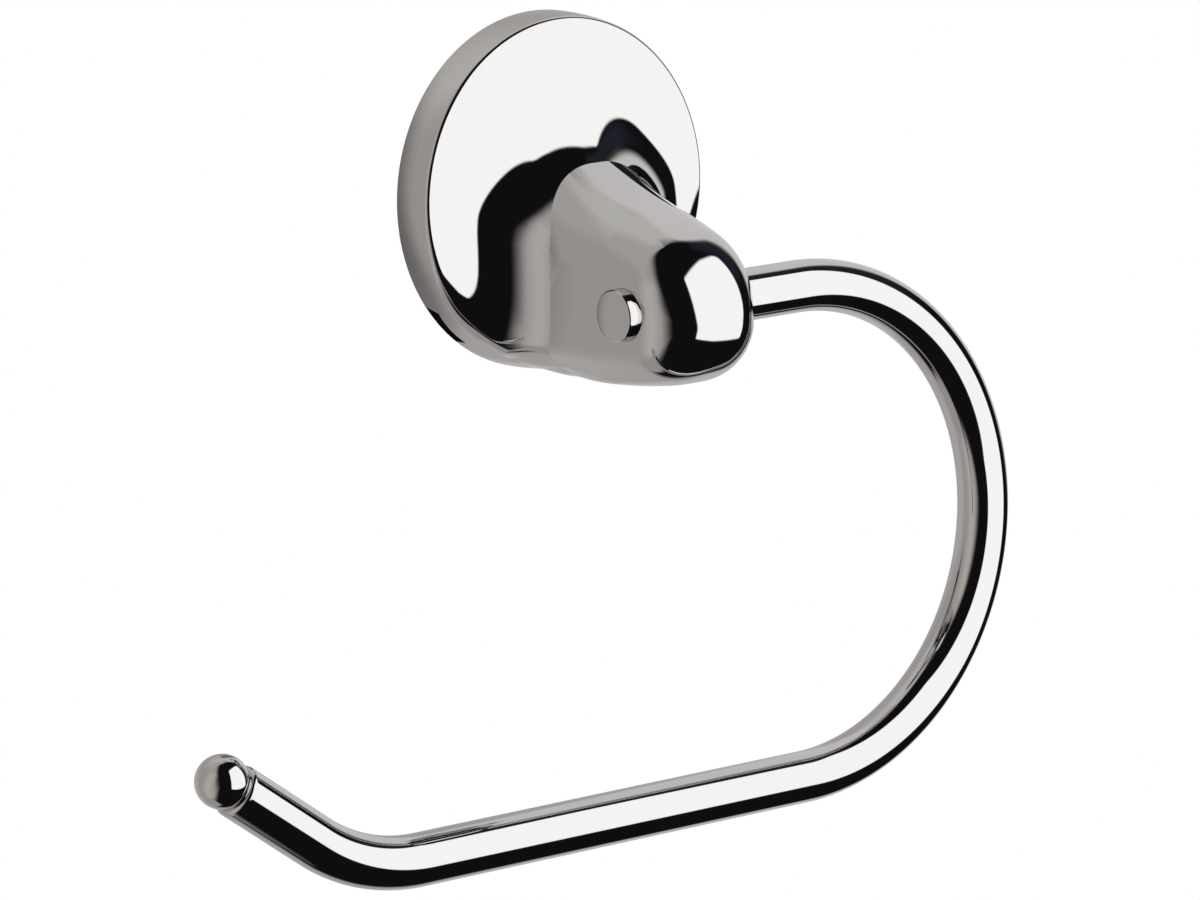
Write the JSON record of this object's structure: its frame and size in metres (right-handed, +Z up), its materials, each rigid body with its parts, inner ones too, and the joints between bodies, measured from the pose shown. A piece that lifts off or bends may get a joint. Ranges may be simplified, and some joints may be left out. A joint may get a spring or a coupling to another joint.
{
  "type": "toilet paper holder",
  "caption": "Wall-mounted toilet paper holder: round rosette with a rounded nose and an open swinging bail of bent tube with a ball tip.",
  "frame": {"origin": "centre of the rosette, on the wall plane", "axes": "+Z up, +Y into the wall, +X to the right of someone who faces the wall; the bail hangs straight down at rest"},
  "size_m": [0.1952, 0.0544, 0.1534],
  "materials": {
    "chrome_casting": "polished chrome plate on a die casting",
    "chrome_tube": "polished chrome plate on drawn tube",
    "chrome_bar": "polished chrome plate on turned bar",
    "plated_steel": "bright zinc plate on bent strip",
    "screw_steel": "plain stainless steel"
  },
  "bodies": {
    "post": {"post_casting": "chrome_casting", "wall_plate": "plated_steel", "rosette_grub_screw": "screw_steel", "bail_stop_screw": "screw_steel"},
    "bail": {"bail_tube": "chrome_tube", "pivot_pin": "chrome_bar", "end_ball": "chrome_bar"}
  },
  "joints": [
    {"name": "bail_swing", "type": "hinge", "parent": "post", "child": "bail", "pos_m": [0, -0.0402, -0.0183], "axis": [-1, 0, 0], "range_deg": [-20, 110]}
  ]
}
